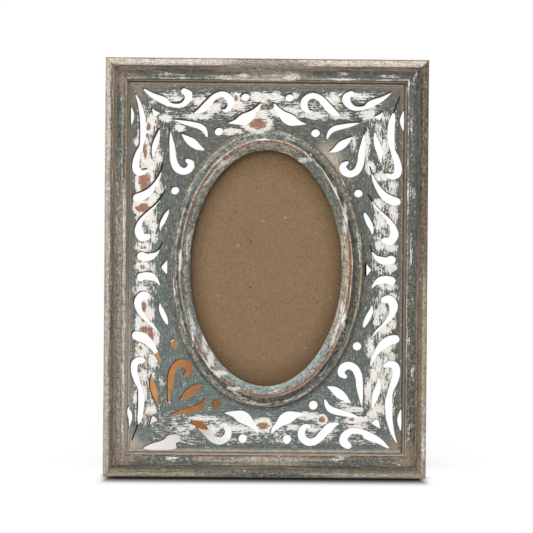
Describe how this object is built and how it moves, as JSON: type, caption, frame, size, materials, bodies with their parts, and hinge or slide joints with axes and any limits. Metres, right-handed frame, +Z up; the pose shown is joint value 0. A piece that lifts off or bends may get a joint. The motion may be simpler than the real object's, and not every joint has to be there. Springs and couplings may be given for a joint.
{
  "type": "picture frame",
  "caption": "Wooden picture frame with a saw-pierced scroll panel, an oval sight opening and a hinged easel strut.",
  "frame": {"origin": "middle of the rear bottom edge of the bottom rail, where the frame stands on the table", "axes": "+Z up, +X to the right as seen from the front, -Y towards the viewer; the frame leans back on its open strut"},
  "size_m": [0.196, 0.1131, 0.2486],
  "materials": {
    "worn_paint": "matt paint worn through to white undercoat, red-brown primer and wood",
    "steel": "plain",
    "black_steel": "black lacquer",
    "brassed_steel": "dull",
    "glass": "clear",
    "kraft_board": "speckled brown",
    "hardboard": "smooth hardboard"
  },
  "bodies": {
    "frame": {"top_rail": "worn_paint", "bottom_rail": "worn_paint", "left_stile": "worn_paint", "right_stile": "worn_paint", "corner_nails": "steel", "fret_panel": "worn_paint", "retaining_points": "steel", "oval_moulding": "worn_paint", "glass_pane": "glass", "backing_board": "kraft_board", "button_screws": "steel", "hinge_board_leaf": "brassed_steel", "hinge_pin": "steel", "hinge_screws": "brassed_steel"},
    "strut": {"strut": "hardboard", "hinge_strut_leaf": "brassed_steel", "strut_rivets": "brassed_steel"},
    "turn_button_right": {"turn_button_right": "black_steel"},
    "turn_button_upper": {"turn_button_upper": "black_steel"},
    "turn_button_left": {"turn_button_left": "black_steel"},
    "turn_button_lower": {"turn_button_lower": "black_steel"}
  },
  "joints": [
    {"name": "strut_hinge", "type": "hinge", "parent": "frame", "child": "strut", "pos_m": [0.009, 0.02685, 0.10572], "axis": [0.7071, -0.1997, -0.6783], "range_deg": [-36.2, 0]},
    {"name": "turn_button_right_swivel", "type": "hinge", "parent": "frame", "child": "turn_button_right", "pos_m": [0.0575, 0.03136, 0.12316], "axis": [0, -0.9593, 0.2824], "range_deg": [-90, 90]},
    {"name": "turn_button_upper_swivel", "type": "hinge", "parent": "frame", "child": "turn_button_upper", "pos_m": [-0.02412, 0.05332, 0.19773], "axis": [0, -0.9593, 0.2824], "range_deg": [-90, 90]},
    {"name": "turn_button_left_swivel", "type": "hinge", "parent": "frame", "child": "turn_button_left", "pos_m": [-0.05682, 0.02726, 0.10925], "axis": [0, -0.9593, 0.2824], "range_deg": [-90, 90]},
    {"name": "turn_button_lower_swivel", "type": "hinge", "parent": "frame", "child": "turn_button_lower", "pos_m": [0.02885, 0.01094, 0.05379], "axis": [0, -0.9593, 0.2824], "range_deg": [-90, 90]}
  ]
}
